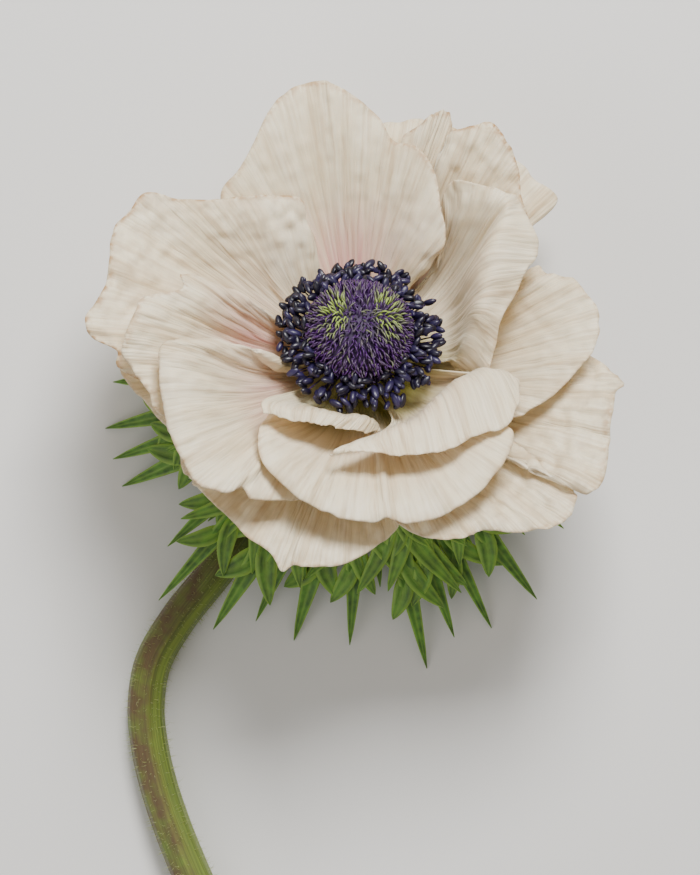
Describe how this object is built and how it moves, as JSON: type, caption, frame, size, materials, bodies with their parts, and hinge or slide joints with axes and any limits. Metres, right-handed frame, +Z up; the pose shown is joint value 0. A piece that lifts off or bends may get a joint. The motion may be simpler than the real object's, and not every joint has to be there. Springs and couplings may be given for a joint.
{
  "type": "anemone flower",
  "caption": "Cut cream double anemone lying on its stem, with ruffled petals, dark violet stamens round a purple centre and a ruff of feathery green leaves.",
  "frame": {"origin": "centre of the box that holds the flower, on the surface that it lies on", "axes": "+Z up out of the surface, +Y along the stem from the cut end towards the bloom, +X to the right when seen from above"},
  "size_m": [0.0928, 0.175, 0.0514],
  "materials": {
    "petal": "matte",
    "leaf": "satin",
    "stamen": "satin",
    "pistil": "matte",
    "stem": "satin"
  },
  "bodies": {
    "root": {"petal_back_top": "petal", "petal_outer_bottom": "petal", "petal_outer_left": "petal", "petal_outer_lower_right": "petal", "petal_outer_right": "petal", "petal_narrow_top": "petal", "petal_mottled": "petal", "petal_right": "petal", "petal_right_rolled": "petal", "petal_top": "petal", "petal_upper_left": "petal", "petal_left": "petal", "petal_front_left": "petal", "petal_bottom_cup": "petal", "petal_inner_strip": "petal", "petal_inner_bright": "petal", "bract_left": "leaf", "bract_lower": "leaf", "bract_right": "leaf", "stamens": "stamen", "pistil_dome": "pistil", "stem": "stem"}
  },
  "joints": []
}
